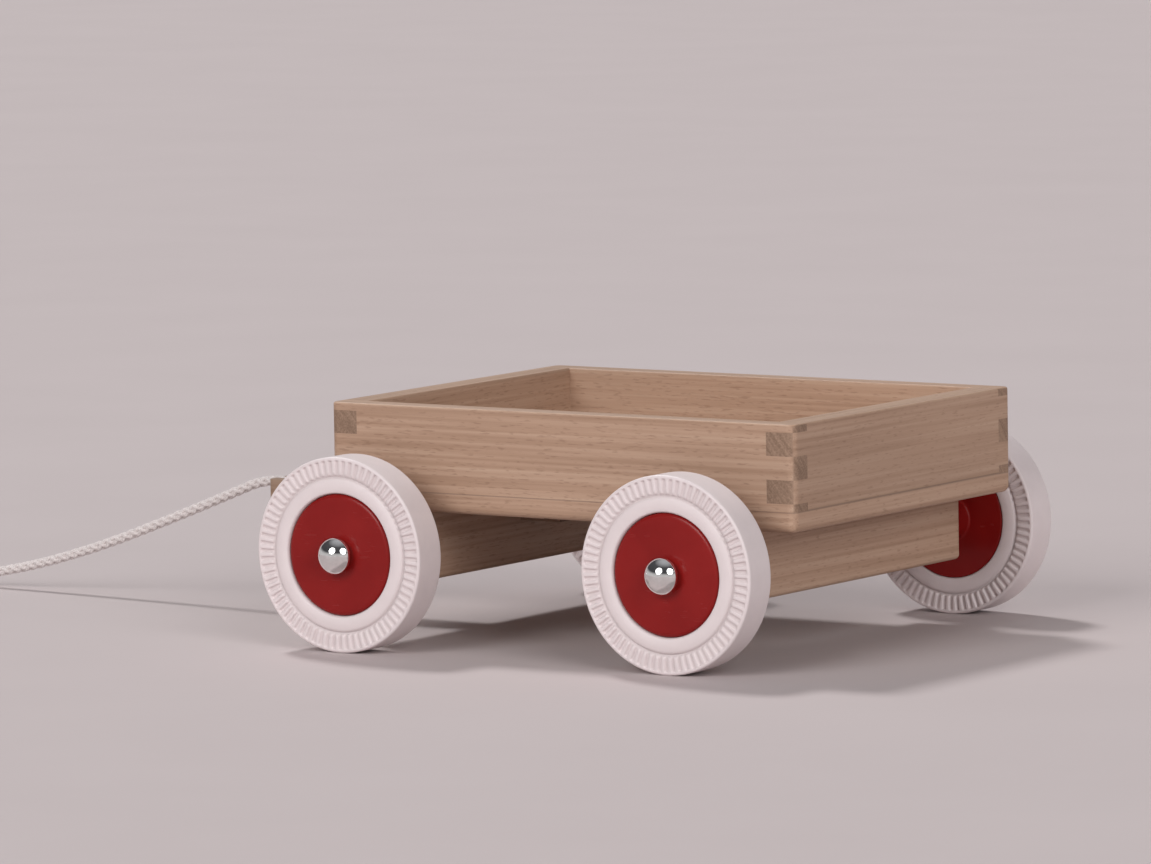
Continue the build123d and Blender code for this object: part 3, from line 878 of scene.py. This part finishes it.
def plait(name, points, spots, reference):
    """A plaited cord: strands wind both ways round the line, and each rides over and under the others,
    its distance from the middle rising and falling once for every two strands that it crosses."""
    across, upward = frames(points, reference)
    wind = 2 * math.pi * spots / strand_pitch
    tubes = [tube_points(points, across, upward, core_radius)]
    for way in (1, -1):
        reach = strand_reach + way * strand_wave * np.cos(strand_ways * wind)
        for k in range(strand_ways):
            angle = way * wind + 2 * math.pi * k / strand_ways
            out = np.cos(angle)[:, None] * across + np.sin(angle)[:, None] * upward
            strand = points + reach[:, None] * out
            side_way, out_way = frames_from(strand, out)
            wide = side_way * strand_wide
            flat = out_way * strand_flat
            tubes.append(tube_points(strand, wide, flat, strand_radius))
    mesh = bpy.data.meshes.new(name)
    all_points, all_faces, start = [], [], 0
    for tube in tubes:
        rings, sides, _ = tube.shape
        index = start + np.arange(rings * sides).reshape(rings, sides)
        ahead = np.roll(index, -1, axis=1)
        quads = np.stack([index[:-1], ahead[:-1], ahead[1:], index[1:]], axis=-1).reshape(-1, 4)
        all_points.append(tube.reshape(-1, 3))
        all_faces += quads.tolist()
        all_faces += [index[0, ::-1].tolist(), index[-1].tolist()]
        start += rings * sides
    mesh.from_pydata(np.concatenate(all_points).tolist(), [], all_faces)
    mesh.polygons.foreach_set("use_smooth", np.ones(len(mesh.polygons), dtype=bool))
    return close_up(mesh)


cotton_white = (0.760, 0.690, 0.680)
cotton_shaded = (0.520, 0.465, 0.445)
cotton_finish, cotton_tree, cotton_shader = finish_of("white_cotton")
cotton_where = put(cotton_tree, "TexCoord")
cotton_fibre = put(
    cotton_tree, "TexNoise", {"Vector": cotton_where.outputs["Object"], "Scale": 2600.0, "Detail": 3.0}
)
cotton_tone = ramp(cotton_tree, cotton_fibre.outputs[0], [(0.3, cotton_shaded), (0.62, cotton_white)])
cotton_relief = put(
    cotton_tree, "Bump", {"Height": cotton_fibre.outputs[0], "Strength": 0.5, "Distance": 0.0002}
)
cotton_tree.links.new(cotton_tone, cotton_shader.inputs["Base Color"])
cotton_tree.links.new(cotton_relief.outputs[0], cotton_shader.inputs["Normal"])
cotton_shader.inputs["Roughness"].default_value = 0.9
cotton_shader.inputs["Sheen Weight"].default_value = 0.25
cotton_shader.inputs["Sheen Roughness"].default_value = 0.5

cord_step = 0.0005
whole_route = cord_route + coil_route.tolist() + tail_route
cord_path, cord_spots = evenly(smooth_line("cord_route", whole_route), cord_step)
cord_mesh = plait("pull_cord_plait", cord_path, cord_spots, (0.0, 0.0, 1.0))
cord_solids = ("pull_cord", "cord_coil", "cord_tail")
pull_cord = add_piece("pull_cord_plait", cord_mesh, cotton_finish, "chassis", "white_cord", *cord_solids)

# Coil tie
# A strip of white cotton tape round both layers of the coil, which keeps the spare cord together.
tie_width = 0.0045
tie_thickness = 0.0004
tie_turn = 0.5
tie_squareness = 0.4
tie_pressed = 0.25
tie_low, tie_high = [
    np.array([np.interp(tie_turn + layer, coil_turn, coil_route[:, k]) for k in range(3)])
    for layer in (0, 1)
]
tie_up = (tie_high - tie_low) / np.linalg.norm(tie_high - tie_low)
tie_out = np.cross([1.0, 0.0, 0.0], tie_up)
tie_angle = np.linspace(-math.pi / 2, 1.5 * math.pi, 96, endpoint=False)
tie_way = np.cos(tie_angle)[:, None] * tie_up + np.sin(tie_angle)[:, None] * tie_out
tie_middle = np.where(tie_angle[:, None] < math.pi / 2, tie_high, tie_low)
section = np.linspace(0.0, 2 * math.pi, 16, endpoint=False)
tie_across = tie_width / 2 * np.sign(np.cos(section)) * np.abs(np.cos(section)) ** tie_squareness
tie_off = tie_thickness / 2 * np.sign(np.sin(section)) * np.abs(np.sin(section)) ** tie_squareness
tie_reach = cord_diameter / 2 + tie_thickness / 2 + tie_off
tie_points = tie_middle[:, None] + tie_reach[None, :, None] * tie_way[:, None]
tie_points[..., 0] = coil_start + tie_across
tie_points[..., 2] = np.maximum(tie_points[..., 2], tie_pressed * (tie_thickness / 2 + tie_off))
tie_mesh = close_up(grid_mesh("coil_tie", tie_points, True))
tie = add_piece("coil_tie", tie_mesh, cotton_finish, "chassis", "white_cord")

# Knots and knob
# The cord is tied off under the tongue and beyond a turned beech ball that a child can hold. Each knot
# is one overhand turn drawn tight, with a short end.
knot_size = 0.00112
knot_depth = 0.0017
knot_steps = 260


def knot_line(middle, axis):
    """A trefoil: it runs twice round the axis while a sine takes it to and fro along it three times."""
    t = np.linspace(0.0, 2 * math.pi, knot_steps)
    one_way = (np.sin(t) + 2 * np.sin(2 * t)) * knot_size
    other_way = (np.cos(t) - 2 * np.cos(2 * t)) * knot_size
    lift = -np.sin(3 * t) * knot_depth
    if axis == "Y":
        return np.array(middle) + np.column_stack([one_way, lift, other_way]), (0.0, 1.0, 0.0)
    return np.array(middle) + np.column_stack([one_way, other_way, lift]), (0.0, 0.0, 1.0)


def knotted(name, knot_middle, axis, stretches):
    """A knot and the straight or bent stretches of cord that belong to it, as one mesh."""
    whole = bmesh.new()
    loop, reference = knot_line(knot_middle, axis)
    for number, (line, level_to) in enumerate([(loop, reference), *stretches]):
        points, spots = evenly(np.array(line), cord_step)
        part = plait(f"{name}_{number}", points, spots, level_to)
        whole.from_mesh(part)
        bpy.data.meshes.remove(part)
    mesh = bpy.data.meshes.new(name)
    whole.to_mesh(mesh)
    whole.free()
    mesh.polygons.foreach_set("use_smooth", np.ones(len(mesh.polygons), dtype=bool))
    return mesh


anchor_low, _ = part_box("cord_anchor")
hole_setback = 0.0120
hole_x = nose - hole_setback
knot_radius = 0.0049
knot_gap = 0.0001
tongue_knot = (hole_x, 0.0, tongue_low[2] - knot_radius - knot_gap)
anchor_rise = smooth_line(
    "anchor_route",
    [
        (hole_x, 0.0, tongue_knot[2]),
        (hole_x, 0.0, cord_exit[2] - 0.0080),
        (hole_x, 0.0, cord_exit[2] - 0.0010),
        (hole_x + 0.0010, 0.0, cord_exit[2]),
        (hole_x + 0.0080, 0.0, cord_exit[2]),
        cord_exit,
    ],
)
anchor_end = [tongue_knot, (hole_x, 0.0, anchor_low[2])]
anchor_mesh = knotted(
    "tongue_knot", tongue_knot, "Z", [(anchor_rise, (0.0, 1.0, 0.0)), (anchor_end, (0.0, 1.0, 0.0))]
)
anchor = add_piece("tongue_knot", anchor_mesh, cotton_finish, "chassis", "white_cord", "cord_anchor")

end_low, end_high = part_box("end_knot")
knob_x = (knob_low[0] + knob_high[0]) / 2
knob_knot = (knob_x, knob_high[1] + knot_radius + knot_gap, knob_height)
through = [(knob_x, end_low[1], knob_height), knob_knot]
loose_end = [knob_knot, (knob_x, end_high[1], knob_height)]
end_mesh = knotted(
    "knob_knot", knob_knot, "Y", [(through, (0.0, 0.0, 1.0)), (loose_end, (0.0, 0.0, 1.0))]
)
end_knot = add_piece("knob_knot", end_mesh, cotton_finish, "chassis", "white_cord", "end_knot")

knob_radius = (knob_high[2] - knob_low[2]) / 2
knob_half = (knob_high[1] - knob_low[1]) / 2
knob_bore = 0.00255
knob_mouth = 0.0008
knob_middle = (knob_low[1] + knob_high[1]) / 2
flat_turn = math.acos(knob_half / knob_radius)
ball_turn = np.linspace(flat_turn, math.pi - flat_turn, 64)
ball = np.stack([knob_radius * np.sin(ball_turn), knob_middle + knob_radius * np.cos(ball_turn)], axis=-1)
mouth_turn = np.linspace(0.0, math.pi / 2, 6)
mouth_radius = knob_bore + knob_mouth * (1 - np.sin(mouth_turn))
mouth_depth = knob_mouth * (1 - np.cos(mouth_turn))
near_mouth = np.stack([mouth_radius, knob_middle - knob_half + mouth_depth], axis=-1)
far_mouth = np.stack([mouth_radius, knob_middle + knob_half - mouth_depth], axis=-1)[::-1]
knob_outline = np.concatenate([ball, near_mouth, far_mouth])
knob_mesh = lathe("turned_pull_knob", knob_outline, (knob_x, 0.0, knob_height), 1)
knob_finish = beech("beech_knob", "Y", (9.7, 3.7, 2.2), 1.04)
knob = add_piece("turned_pull_knob", knob_mesh, knob_finish, "chassis", "beech_knob", "pull_knob")

low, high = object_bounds()
